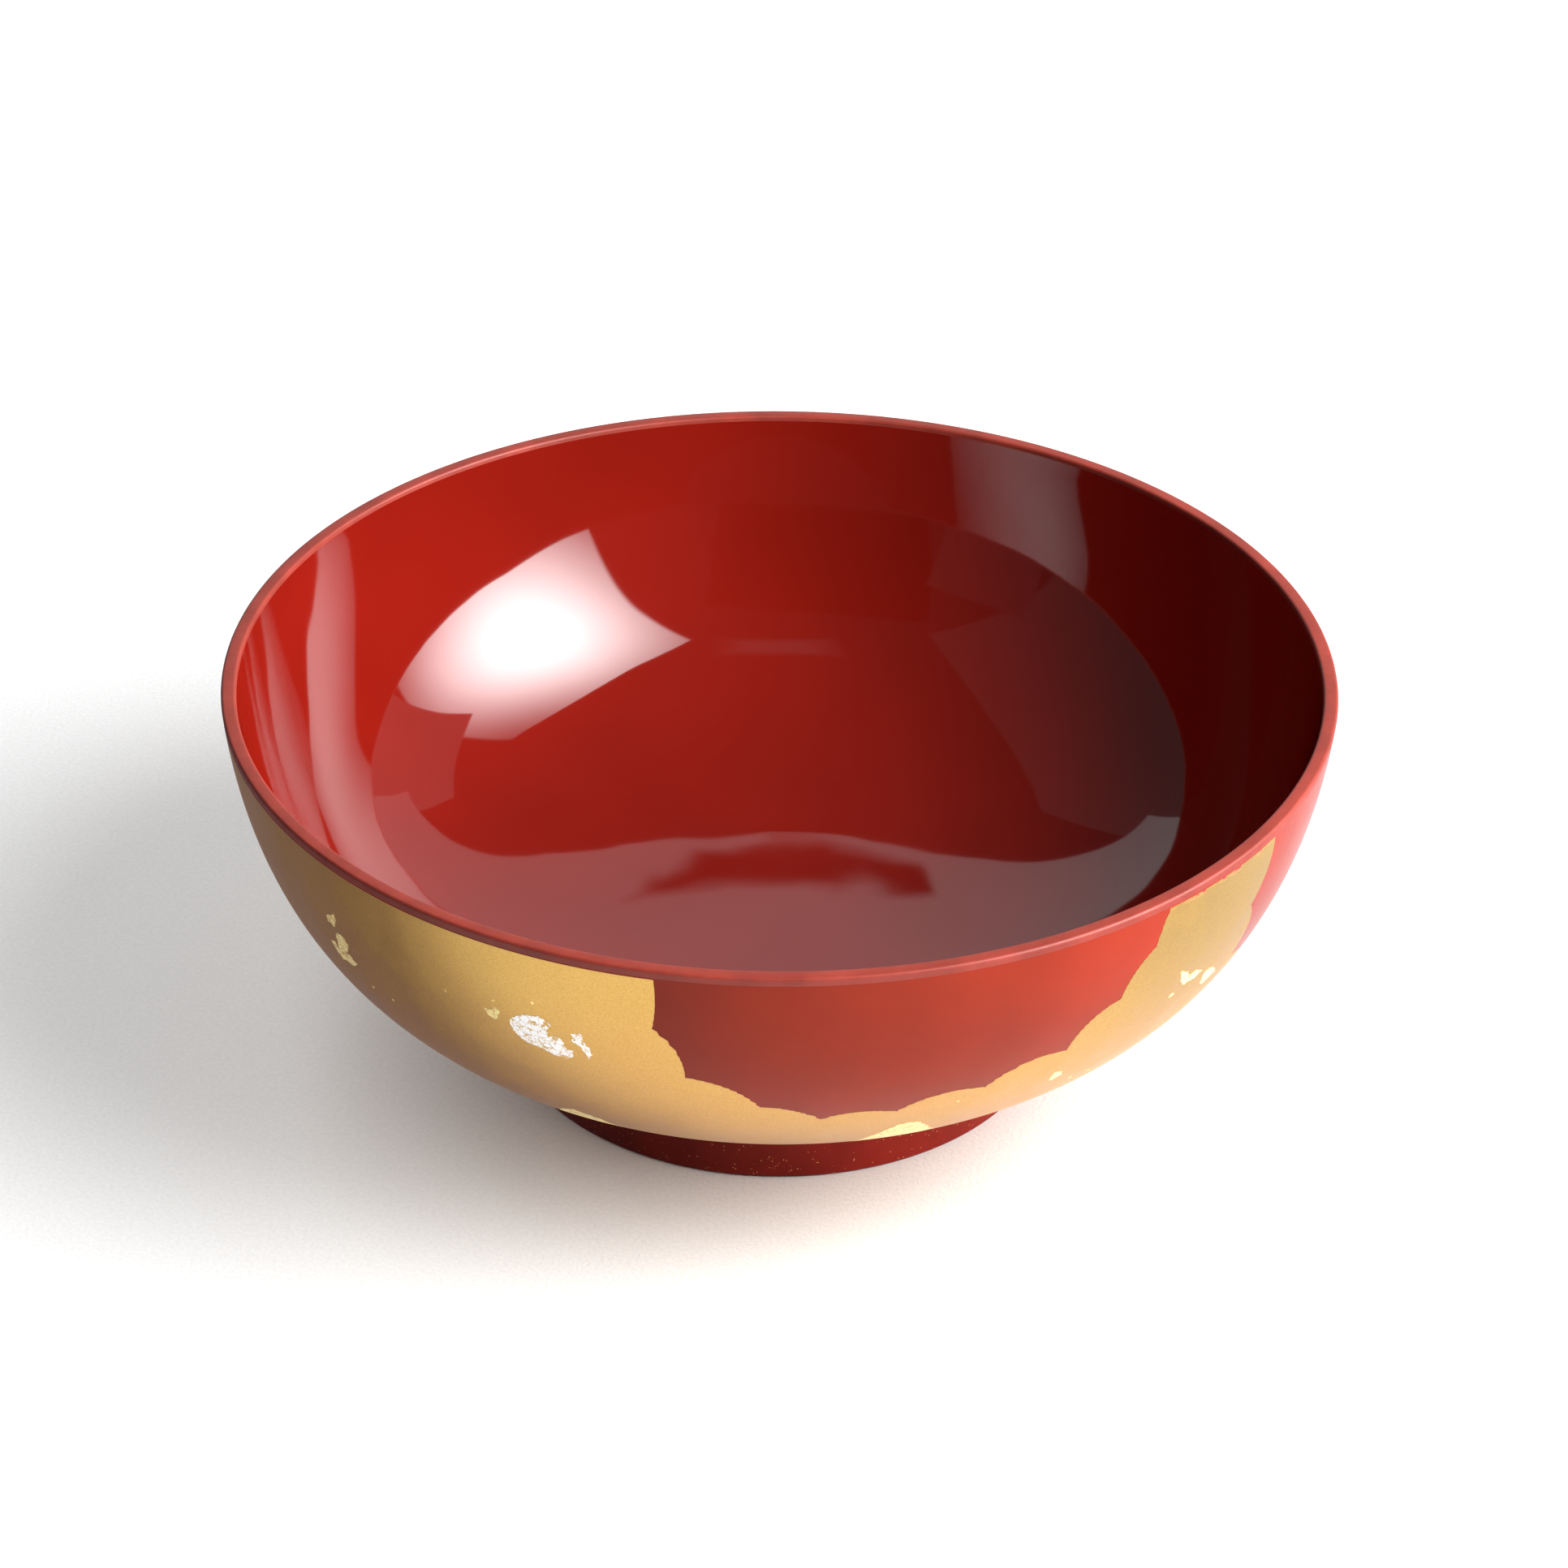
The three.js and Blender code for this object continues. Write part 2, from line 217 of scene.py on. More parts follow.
class BowlSizes(PropertyGroup):
    rim_radius: length("Rim radius", "Radius over the lip", RIM_BOX[1].x)
    height: length("Height", "Height over the lip", RIM_BOX[1].z)
    lip_width: length("Lip width", "Width of the lip's top", 2.4 * MM)
    lip_edge: length("Lip edge", "Rounding of the lip's two edges", 0.5 * MM)
    lip_band: length("Lip band", "How far the lip's finish runs down outside", 1.4 * MM)
    lip_band_inside: length("Lip band inside", "How far it runs down inside", 0.9 * MM)
    floor_thickness: length("Floor thickness", "Thickness of the bowl's floor", 5.9 * MM)
    foot_radius: length("Foot radius", "Outer radius of the foot ring", FOOT_BOX[1].x)
    foot_taper: length("Foot taper", "How much the foot narrows upwards", 0.7 * MM)
    foot_height: length("Foot height", "Height of the foot ring", FOOT_LINE * MM)
    foot_ring_width: length("Foot ring width", "Thickness of the foot ring", 5.4 * MM)
    foot_edge: length("Foot edge", "Rounding of the foot's edges", 0.8 * MM)
    recess_depth: length("Recess depth", "Depth of the hollow underneath", 10.5 * MM)
    recess_draft: length("Recess draft", "How much the hollow narrows upwards", 1.6 * MM)
    coat: length("Coat", "Thickness of the lacquer", 0.4 * MM)
    ground: length("Gold ground", "How far the gold ground stands out", 0.02 * MM)
    leaf: length("Leaf", "How far a scrap of leaf stands out of the ground", 0.02 * MM)
    rounds: IntProperty(name="Rounds", description="Steps of a full turn", default=288, min=48)


class BowlColours(PropertyGroup):
    inside_red: colour("Inside red", "Gloss lacquer inside", (0.138, 0.0050, 0.0025))
    outside_red: colour("Outside red", "Satin lacquer outside", (0.205, 0.0165, 0.0052))
    lip_red: colour("Lip red", "Worn lacquer on the lip", (0.195, 0.026, 0.017))
    foot_red: colour("Foot red", "Dull lacquer on the foot", (0.135, 0.0075, 0.0040))
    gold: colour("Gold", "Gold ground near the lip", (0.64, 0.398, 0.112))
    gold_low: colour("Gold, lower", "Gold ground near the foot", (0.60, 0.322, 0.100))
    pale_gold: colour("Pale gold", "Scraps of gold leaf", (0.95, 0.78, 0.33))
    silver: colour("Silver", "Scraps of silver leaf", (1.0, 1.0, 1.0))
    wood: colour("Wood", "Turned wood under the lacquer", (0.42, 0.26, 0.14))
    floor: colour("Floor", "Paper floor of the stage", (0.88, 0.88, 0.88))


# ---- profile of the bowl ----

def curve(start, start_slope, start_reach, end, end_slope, end_reach, rows):
    """Points of a curve that leaves its start at one slope and reaches its end at another."""
    leave = Vector((math.cos(math.radians(start_slope)), math.sin(math.radians(start_slope))))
    arrive = Vector((math.cos(math.radians(end_slope)), math.sin(math.radians(end_slope))))
    first = start + leave * start_reach
    second = end - arrive * end_reach
    points = []
    for row in range(rows + 1):
        t = row / rows
        s = 1 - t
        points.append(
            start * s**3 + first * (3 * s * s * t) + second * (3 * s * t * t) + end * t**3
        )
    return points


def rounded(centre, radius, first, last, rows=6):
    """Points round an edge, from one angle to another in degrees."""
    points = []
    for row in range(rows + 1):
        angle = math.radians(first + (last - first) * row / rows)
        points.append(centre + Vector((math.cos(angle), math.sin(angle))) * radius)
    return points


def surface_line(sizes):
    """The bowl's surface from the middle of its floor over the lip to the middle underneath,
    and the number of the point where each stretch of it ends."""
    floor_height = sizes.recess_depth + sizes.floor_thickness
    inside_radius = sizes.rim_radius - sizes.lip_width
    recess_radius = sizes.foot_radius - sizes.foot_ring_width
    edge = sizes.lip_edge
    inside_band = Vector((
        inside_radius - (sizes.lip_band_inside - edge) / math.tan(math.radians(INSIDE_SLOPE)),
        sizes.height - sizes.lip_band_inside,
    ))
    outside_band = Vector((
        sizes.rim_radius - (sizes.lip_band - edge) / math.tan(math.radians(OUTSIDE_SLOPE)),
        sizes.height - sizes.lip_band,
    ))
    neck = Vector((sizes.foot_radius - sizes.foot_taper, sizes.foot_height))
    line = curve(
        Vector((0, floor_height)), 0, FLOOR_REACH * inside_band.x,
        inside_band, INSIDE_SLOPE, INSIDE_REACH * (inside_band.y - floor_height), INSIDE_ROWS,
    )
    ends = {"inside": len(line) - 1}
    top = sizes.height - edge
    line += rounded(Vector((inside_radius + edge, top)), edge, 180, 90)
    line += rounded(Vector((sizes.rim_radius - edge, top)), edge, 90, 0)
    ends["lip"] = len(line)
    wall = curve(
        neck, BELLY_SLOPE, BELLY_REACH * (outside_band.x - neck.x),
        outside_band, OUTSIDE_SLOPE, OUTSIDE_REACH * (outside_band.y - neck.y), OUTSIDE_ROWS,
    )
    line += wall[::-1]
    ends["outside"] = len(line) - 1
    round_foot = sizes.foot_edge
    line += rounded(Vector((sizes.foot_radius - round_foot, round_foot)), round_foot, 0, -90)
    line += rounded(Vector((recess_radius + round_foot, round_foot)), round_foot, -90, -180)
    line.append(Vector((recess_radius - sizes.recess_draft, sizes.recess_depth)))
    ends["foot"] = len(line) - 1
    line.append(Vector((0, sizes.recess_depth)))
    return line, ends


def moved_in(line, distance):
    """The line moved into the bowl's material, or out of it where the distance is negative."""
    def inward(start, end):
        along = (end - start).normalized()
        return Vector((along.y, -along.x))

    last = len(line) - 1
    moved = []
    for index, at in enumerate(line):
        before = inward(line[max(index - 1, 0)], line[max(index, 1)])
        after = inward(line[min(index, last - 1)], line[min(index + 1, last)])
        mitre = (before + after).normalized()
        point = at + mitre * (distance / mitre.dot(after))
        if index in (0, last):
            point.x = 0
        moved.append(point)
    return moved


def coat_profile(sizes, start, end, near, far, trim_start=0.0, trim_end=0.0):
    """The closed profile of a coat over a stretch of the surface, between two depths."""
    line, _ = surface_line(sizes)
    profile = []
    for depth in (far, near):
        side = [at.copy() for at in moved_in(line, depth)[start:end + 1]]
        if trim_start:
            side[0] += (side[1] - side[0]).normalized() * trim_start
        if trim_end:
            side[-1] += (side[-2] - side[-1]).normalized() * trim_end
        profile += side if depth == far else side[::-1]
    if profile[0].x > 1e-9:
        profile.append(profile[0].copy())
    return profile


# ---- modelling ----

def place(radius, azimuth, height):
    """A point by radius, azimuth in degrees and height."""
    angle = math.radians(azimuth)
    return Vector((radius * math.sin(angle), -radius * math.cos(angle), height))


def chain(name, points):
    """A new object whose mesh is a chain of points, drawn by extruding one point."""
    bpy.ops.object.select_all(action="DESELECT")
    bpy.ops.mesh.primitive_plane_add(size=1 * MM, location=points[0])
    made = bpy.context.object
    made.name = name
    made.data.name = name
    bpy.ops.object.transform_apply(location=True, rotation=False, scale=False)
    bpy.ops.object.mode_set(mode="EDIT")
    bpy.ops.mesh.select_mode(type="VERT")
    bpy.ops.mesh.select_all(action="SELECT")
    bpy.ops.mesh.merge(type="CENTER")
    for start, end in zip(points, points[1:]):
        bpy.ops.mesh.extrude_vertices_move(
            MESH_OT_extrude_verts_indiv={}, TRANSFORM_OT_translate={"value": end - start}
        )
    return made


def closed_up(made):
    """Merges doubles, turns the faces outwards, shades smooth and leaves edit mode."""
    bpy.ops.mesh.select_all(action="SELECT")
    bpy.ops.mesh.remove_doubles(threshold=WELD)
    bpy.ops.mesh.dissolve_degenerate(threshold=0.1 * WELD)
    bpy.ops.mesh.select_all(action="SELECT")
    bpy.ops.mesh.normals_make_consistent(inside=False)
    bpy.ops.object.mode_set(mode="OBJECT")
    bpy.ops.object.shade_smooth_by_angle(angle=SMOOTH)
    return made


def turned(name, profile, rounds, azimuth=90.0, sweep=360.0):
    """A piece turned about the bowl's axis from a profile of radius and height."""
    made = chain(name, [place(at.x, azimuth, at.y) for at in profile])
    bpy.ops.mesh.select_all(action="SELECT")
    if sweep < 360:
        bpy.ops.mesh.remove_doubles(threshold=WELD)
        bpy.ops.mesh.select_all(action="SELECT")
        bpy.ops.mesh.edge_face_add()
    bpy.ops.mesh.spin(
        steps=max(2, round(rounds * sweep / 360)), angle=-math.radians(sweep),
        center=(0, 0, 0), axis=(0, 0, 1),
    )
    return closed_up(made)


def prism(name, outline, near, far):
    """A cutter: an outline of azimuth and height in millimetres, drawn round the axis."""
    made = chain(name, [place(near, azimuth, height * MM) for azimuth, height in outline])
    bpy.ops.mesh.select_all(action="SELECT")
    bpy.ops.mesh.edge_face_add()
    bpy.ops.mesh.select_all(action="SELECT")
    bpy.ops.mesh.extrude_region_move()
    grown = far / near
    bpy.ops.transform.resize(value=(grown, grown, 1), center_override=(0, 0, 0))
    bpy.ops.mesh.select_all(action="SELECT")
    bpy.ops.mesh.quads_convert_to_tris(ngon_method="BEAUTY")
    return closed_up(made)


def cut(piece, cutter, operation):
    """Cuts a piece with a cutter, which is then thrown away."""
    bpy.ops.object.select_all(action="DESELECT")
    bpy.context.view_layer.objects.active = piece
    piece.select_set(True)
    boolean = piece.modifiers.new("Cut", "BOOLEAN")
    boolean.operation = operation
    boolean.solver = "EXACT"
    boolean.object = cutter
    bpy.ops.object.modifier_apply(modifier=boolean.name)
    bpy.data.objects.remove(cutter)
    if not piece.data.polygons:
        raise RuntimeError(f"{piece.name} was cut away")
    bpy.ops.object.shade_smooth_by_angle(angle=SMOOTH)


def scalloped(rows, steps=10):
    """The outline of a window, with the scallops between its points."""
    outline = [(rows[0][0], rows[0][1])]
    for start, end in zip(rows, rows[1:]):
        left = Vector((math.radians(start[0]) * UNROLLED, start[1]))
        right = Vector((math.radians(end[0]) * UNROLLED, end[1]))
        across = right - left
        control = (left + right) / 2 + Vector((-across.y, across.x)) * (2 * end[2])
        for step in range(1, steps + 1):
            t = step / steps
            at = left * (1 - t) ** 2 + control * (2 * t * (1 - t)) + right * t * t
            outline.append((math.degrees(at.x / UNROLLED), at.y))
    return outline


def torn(outline, rng, ragged):
    """An outline with its edges torn: short steps, each moved a little at random."""
    rough = []
    for start, end in zip(outline, outline[1:] + outline[:1]):
        left = Vector((math.radians(start[0]) * UNROLLED, start[1]))
        right = Vector((math.radians(end[0]) * UNROLLED, end[1]))
        along = right - left
        count = max(1, round(along.length / TORN_STEP))
        normal = Vector((-along.y, along.x)).normalized()
        for index in range(count):
            move = rng.uniform(-ragged, ragged)
            at = left + along * (index / count) + normal * move
            rough.append((math.degrees(at.x / UNROLLED), at.y))
    return rough


# ---- finishes ----

SOCKETS = {
    "coat": "Coat Weight", "coat_roughness": "Coat Roughness", "ior": "IOR",
    "metallic": "Metallic", "roughness": "Roughness", "specular": "Specular IOR Level",
}


class Nodes:
    """A tree of nodes, and short ways to add to it."""

    def __init__(self, tree):
        self.tree = tree

    def add(self, kind, inputs=None, **settings):
        node = self.tree.nodes.new(kind)
        for key, value in settings.items():
            setattr(node, key, value)
        for key, value in (inputs or {}).items():
            socket = node.inputs[key]
            if isinstance(value, bpy.types.NodeSocket):
                self.tree.links.new(value, socket)
            else:
                socket.default_value = value
        return node

    def spread(self, value, low, high, to_low=0.0, to_high=1.0):
        return self.add("ShaderNodeMapRange", {
            "Value": value, "From Min": low, "From Max": high,
            "To Min": to_low, "To Max": to_high,
        }).outputs["Result"]

    def mixed(self, factor, first, second, blend="MIX"):
        node = self.add("ShaderNodeMix", data_type="RGBA", blend_type=blend)
        for key, value in ((0, factor), (6, first), (7, second)):
            if isinstance(value, bpy.types.NodeSocket):
                self.tree.links.new(value, node.inputs[key])
            else:
                node.inputs[key].default_value = value
        return node.outputs[2]

    def maths(self, operation, first, second):
        return self.add("ShaderNodeMath", {0: first, 1: second}, operation=operation).outputs[0]


class Finish(Nodes):
    """A material with one Principled shader, and short ways to add what feeds it."""

    def __init__(self, name, **values):
        self.material = bpy.data.materials.new(name)
        self.material.use_nodes = True
        super().__init__(self.material.node_tree)
        self.shader = self.tree.nodes["Principled BSDF"]
        for key, value in values.items():
            self.shader.inputs[SOCKETS[key]].default_value = value
        self.coordinates = self.add("ShaderNodeTexCoord").outputs["Object"]

    def noise(self, scale, detail=2.0, roughness=0.5, at=None):
        return self.add("ShaderNodeTexNoise", {
            "Vector": at or self.coordinates, "Scale": scale, "Detail": detail,
            "Roughness": roughness, "Distortion": 0.0,
        }).outputs["Fac"]

    def along(self, axis):
        return self.add("ShaderNodeSeparateXYZ", {0: self.coordinates}).outputs[axis]

    def link(self, socket, value):
        self.tree.links.new(value, self.shader.inputs[socket])

    def bumped(self, height, distance, strength=1.0, below=None):
        inputs = {"Height": height, "Distance": distance, "Strength": strength}
        if below is not None:
            inputs["Normal"] = below
        return self.add("ShaderNodeBump", inputs).outputs["Normal"]

    def glowing(self, rgb, strength=1.0):
        return self.add("ShaderNodeEmission", {
            "Color": (*rgb, 1), "Strength": strength,
        }).outputs[0]

    def faded(self, share, first, second):
        return self.add("ShaderNodeMixShader", {0: share, 1: first, 2: second}).outputs[0]

    def clear(self):
        return self.add("ShaderNodeBsdfTransparent").outputs[0]

    def shown_as(self, surface):
        """Shows another shader in place of the Principled one."""
        self.tree.nodes.remove(self.shader)
        output = self.tree.nodes["Material Output"]
        self.tree.links.new(surface, output.inputs["Surface"])
        return self.material


def opaque(rgb, factor=1.0):
    return (rgb[0] * factor, rgb[1] * factor, rgb[2] * factor, 1.0)


def gloss_lacquer(rgb):
    """Deep polished lacquer, very slightly uneven as hand-turned work is."""
    finish = Finish("gloss_red_lacquer", roughness=0.04, ior=1.54)
    cloud = finish.spread(finish.noise(22, 2), 0.3, 0.7)
    finish.link("Base Color", finish.mixed(cloud, opaque(rgb, 0.88), opaque(rgb, 1.1)))
    slow = finish.bumped(finish.noise(28, 1), 0.6 * MM, 0.5)
    finish.link("Normal", finish.bumped(finish.noise(85, 1), 0.06 * MM, 0.4, slow))
    return finish.material


def satin_lacquer(rgb):
    """Lacquer rubbed to a soft sheen."""
    finish = Finish("outer_red_lacquer", roughness=0.24, ior=1.5, specular=0.12)
    cloud = finish.spread(finish.noise(40, 3), 0.3, 0.7)
    finish.link("Base Color", finish.mixed(cloud, opaque(rgb, 0.86), opaque(rgb, 1.12)))
    finish.link("Roughness", finish.spread(finish.noise(90, 2), 0.3, 0.7, 0.22, 0.26))
    finish.link("Normal", finish.bumped(finish.noise(45, 1), 0.04 * MM, 0.5))
    return finish.material


def lip_lacquer(rgb):
    """The lip, rubbed by use so that the red is paler and dull in patches."""
    finish = Finish("lip_lacquer", roughness=0.44, ior=1.5, specular=0.25)
    worn = finish.spread(finish.noise(120, 4, 0.6), 0.35, 0.7)
    finish.link("Base Color", finish.mixed(worn, opaque(rgb, 0.85), opaque(rgb, 1.2)))
    finish.link("Roughness", finish.spread(finish.noise(700, 3), 0.3, 0.7, 0.36, 0.50))
    return finish.material


def foot_lacquer(rgb):
    """Dull dark lacquer with a sparse dust of gold."""
    finish = Finish("foot_red_lacquer", roughness=0.42, ior=1.5, specular=0.10)
    cloud = finish.spread(finish.noise(60, 4, 0.6), 0.3, 0.7)
    red = finish.mixed(cloud, opaque(rgb, 0.75), opaque(rgb, 1.2))
    cells = finish.add("ShaderNodeTexVoronoi", {
        "Vector": finish.coordinates, "Scale": 2300.0, "Randomness": 1.0,
    })
    dust = finish.spread(cells.outputs["Distance"], 0.26, 0.14)
    sparse = finish.spread(cells.outputs["Color"], 0.76, 0.82)
    dust = finish.maths("MULTIPLY", dust, sparse)
    finish.link("Base Color", finish.mixed(dust, red, (0.55, 0.26, 0.10, 1)))
    finish.link("Normal", finish.bumped(finish.noise(900, 3), 0.02 * MM, 0.5))
    return finish.material


def gold_ground(high, low, red):
    """Sprinkled gold, burnished to a satin: brighter by the lip and redder lower down, where the
    lighter gold by the lip is in part a painted reflection. The red shows through in dashes where
    its top edge is worn on the right."""
    finish = Finish("gold_ground", roughness=0.38, coat=0.12, coat_roughness=0.35)
    # Painted reflection in part: the gold runs from the redder low colour at the foot to the
    # lighter gold by the lip
    height = finish.spread(finish.along("Z"), 0.024, 0.062)
    cloud = finish.noise(45, 4, 0.6)
    fall = finish.maths("ADD", height, finish.spread(cloud, 0.3, 0.7, -0.2, 0.2))
    base = finish.mixed(finish.spread(fall, 0.0, 1.0), opaque(low), opaque(high))
    grain = finish.spread(finish.noise(4200, 1, 0.6), 0.36, 0.64)
    grained = finish.mixed(grain, (0.86, 0.83, 0.79, 1), (1, 1, 1, 1))
    gold = finish.mixed(1.0, base, grained, "MULTIPLY")
    top = finish.spread(finish.along("Z"), 0.0665, 0.0671)
    right = finish.spread(finish.along("X"), 0.058, 0.064)
    front = finish.spread(finish.along("Y"), -0.046, -0.052)
    dashes = finish.spread(finish.noise(520, 2), 0.50, 0.56)
    worn = finish.maths("MULTIPLY", finish.maths("MULTIPLY", top, dashes),
                        finish.maths("MULTIPLY", right, front))
    finish.link("Base Color", finish.mixed(worn, gold, opaque(red)))
    finish.link("Metallic", finish.maths("SUBTRACT", 1.0, worn))
    finish.link("Roughness", finish.spread(finish.noise(180, 3), 0.3, 0.7, 0.33, 0.42))
    slow = finish.bumped(finish.noise(60, 3), 0.04 * MM, 0.5)
    finish.link("Normal", finish.bumped(finish.noise(4200, 1, 0.6), 0.008 * MM, 0.5, slow))
    return finish.material


def leaf(name, rgb, ground, gaps, metallic):
    """Beaten leaf, cracked where it was laid, with the gold ground between its crumbs."""
    finish = Finish(name, metallic=metallic, roughness=0.34)
    wander = finish.add("ShaderNodeTexNoise", {
        "Vector": finish.coordinates, "Scale": 700.0, "Detail": 2.0,
    }).outputs["Color"]
    moved = finish.add("ShaderNodeVectorMath", {
        0: wander, 1: (0.0014, 0.0014, 0.0014), 2: finish.coordinates,
    }, operation="MULTIPLY_ADD").outputs["Vector"]
    cells = finish.add("ShaderNodeTexVoronoi", {
        "Vector": moved, "Scale": 760.0, "Randomness": 1.0,
    }, feature="DISTANCE_TO_EDGE")
    whole = finish.spread(cells.outputs["Distance"], 0.01, 0.05)
    bare = 0.30 + gaps * 0.3
    crumbs = finish.spread(finish.noise(850, 3, 0.65), bare, bare + 0.06)
    laid = finish.maths("MULTIPLY", whole, crumbs)
    cloud = finish.spread(finish.noise(500, 3, 0.6), 0.3, 0.7)
    pale = finish.mixed(cloud, opaque(rgb, 0.92), opaque(rgb, 1.06))
    finish.link("Base Color", finish.mixed(laid, opaque(ground), pale))
    finish.link("Normal", finish.bumped(laid, 0.02 * MM, 0.5))
    return finish.material


def wood(rgb):
    """Plain turned wood, with rings round the tree's heart to one side of the bowl."""
    finish = Finish("turned_wood", roughness=0.6)
    moved = finish.add("ShaderNodeMapping", {
        "Vector": finish.coordinates, "Location": (0.11, 0.02, 0), "Rotation": (0.1, 0.06, 0),
    }).outputs["Vector"]
    rings = finish.add("ShaderNodeTexWave", {
        "Vector": moved, "Scale": 90.0, "Distortion": 2.5, "Detail": 3.0, "Detail Scale": 1.2,
    }, wave_type="RINGS", rings_direction="Z").outputs["Fac"]
    finish.link("Base Color", finish.mixed(rings, opaque(rgb, 0.72), opaque(rgb, 1.15)))
    finish.link("Normal", finish.bumped(finish.noise(1400, 3), 0.03 * MM, 0.4))
    return finish.material


def paper(rgb):
    """White paper with a fine tooth."""
    finish = Finish("paper_floor", roughness=0.85, ior=1.4)
    tooth = finish.noise(1400, 3, 0.6)
    finish.link("Base Color", finish.mixed(
        finish.spread(tooth, 0.35, 0.65), opaque(rgb, 0.95), opaque(rgb, 1.01)))
    finish.link("Normal", finish.bumped(tooth, 0.2 * MM, 0.6))
    return finish.material


def glow(name, strength, soft=0.0):
    """An evenly lit studio panel, whose edges can fade out raggedly."""
    finish = Finish(name)
    light = finish.glowing((1, 1, 1), strength)
    if soft:
        across = finish.add("ShaderNodeTexCoord").outputs["UV"]
        ragged = finish.maths("SUBTRACT", finish.noise(9, 3, 0.6, at=across), 0.5)
        parts = finish.add("ShaderNodeSeparateXYZ", {0: across}).outputs
        inset = []
        for axis in ("X", "Y"):
            away = finish.maths("ABSOLUTE", finish.maths("SUBTRACT", parts[axis], 0.5), 0.0)
            inset.append(finish.maths("SUBTRACT", 0.5, away))
        inset = finish.maths("ADD", finish.maths("MINIMUM", *inset),
                             finish.maths("MULTIPLY", ragged, soft * 0.7))
        light = finish.faded(finish.spread(inset, 0.02, soft), finish.clear(), light)
    return finish.shown_as(light)


def finished(piece, material, slot, *nodes):
    """Gives a piece its finish and its place on the frame."""
    piece.data.materials.clear()
    piece.data.materials.append(material)
    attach(piece, "root")
    if nodes:
        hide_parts(*nodes)
    return piece


# ---- operators ----

class BOWL_OT_wood_core(Operator):
    """Turn the wood under the lacquer"""
    bl_idname = "bowl.wood_core"
    bl_label = "Wood core"

    def execute(self, context):
        sizes = context.scene.bowl_sizes
        line, _ = surface_line(sizes)
        profile = moved_in(line, sizes.coat + BOND)
        piece = turned("turned_core", profile, sizes.rounds)
        finished(piece, wood(context.scene.bowl_colours.wood), "turned_wood", "wood_core")
        return {"FINISHED"}


class BOWL_OT_inside(Operator):
    """Lay the polished coat inside the bowl"""
    bl_idname = "bowl.inside"
    bl_label = "Inside lacquer"

    def execute(self, context):
        sizes = context.scene.bowl_sizes
        _, ends = surface_line(sizes)
        profile = coat_profile(sizes, 0, ends["inside"], 0, sizes.coat)
        piece = turned("inside_lacquer", profile, sizes.rounds)
        material = gloss_lacquer(context.scene.bowl_colours.inside_red)
        finished(piece, material, "gloss_red_lacquer", "inner_lacquer")
        return {"FINISHED"}


class BOWL_OT_lip(Operator):
    """Lay the coat over the lip"""
    bl_idname = "bowl.lip"
    bl_label = "Lip"

    def execute(self, context):
        sizes = context.scene.bowl_sizes
        _, ends = surface_line(sizes)
        profile = coat_profile(sizes, ends["inside"], ends["lip"], 0, sizes.coat)
        piece = turned("lip_coat", profile, sizes.rounds)
        material = lip_lacquer(context.scene.bowl_colours.lip_red)
        finished(piece, material, "lip_lacquer", "rim_lacquer")
        return {"FINISHED"}


class BOWL_OT_outside(Operator):
    """Lay the satin coat over the outer wall"""
    bl_idname = "bowl.outside"
    bl_label = "Outside lacquer"

    def execute(self, context):
        sizes = context.scene.bowl_sizes
        _, ends = surface_line(sizes)
        profile = coat_profile(sizes, ends["lip"], ends["outside"], 0, sizes.coat)
        piece = turned("outside_lacquer", profile, sizes.rounds)
        material = satin_lacquer(context.scene.bowl_colours.outside_red)
        finished(piece, material, "outer_red_lacquer", "outer_lacquer")
        return {"FINISHED"}


class BOWL_OT_foot(Operator):
    """Lay the coats over the foot ring and the hollow inside it"""
    bl_idname = "bowl.foot"
    bl_label = "Foot and underside"

    def execute(self, context):
        sizes = context.scene.bowl_sizes
        _, ends = surface_line(sizes)
        material = foot_lacquer(context.scene.bowl_colours.foot_red)
        ring = coat_profile(sizes, ends["outside"], ends["foot"], 0, sizes.coat)
        piece = turned("foot_coat", ring, sizes.rounds)
        finished(piece, material, "foot_red_lacquer", "foot_lacquer")
        base = coat_profile(sizes, ends["foot"], ends["foot"] + 1, 0, sizes.coat)
        piece = turned("underside_coat", base[::-1], sizes.rounds)
        finished(piece, material, "foot_red_lacquer", "base_lacquer")
        return {"FINISHED"}


class BOWL_OT_gold_ground(Operator):
    """Lay the gold ground round the wall and cut the red windows out of it"""
    bl_idname = "bowl.gold_ground"
    bl_label = "Gold ground"

    def execute(self, context):
        sizes = context.scene.bowl_sizes
        colours = context.scene.bowl_colours
        _, ends = surface_line(sizes)
        profile = coat_profile(
            sizes, ends["lip"], ends["outside"], -sizes.ground, 0.05 * MM, 0.25 * MM, 0.5 * MM
        )
        piece = turned("gold_cloud_ground", profile, sizes.rounds)
        for name, rows in WINDOWS.items():
            window = prism(f"window_{name}", scalloped(rows), 0.3 * sizes.rim_radius,
                           1.5 * sizes.rim_radius)
            cut(piece, window, "DIFFERENCE")
        material = gold_ground(colours.gold, colours.gold_low, colours.outside_red)
        finished(piece, material, "gold_ground", "gold_ground")
        return {"FINISHED"}


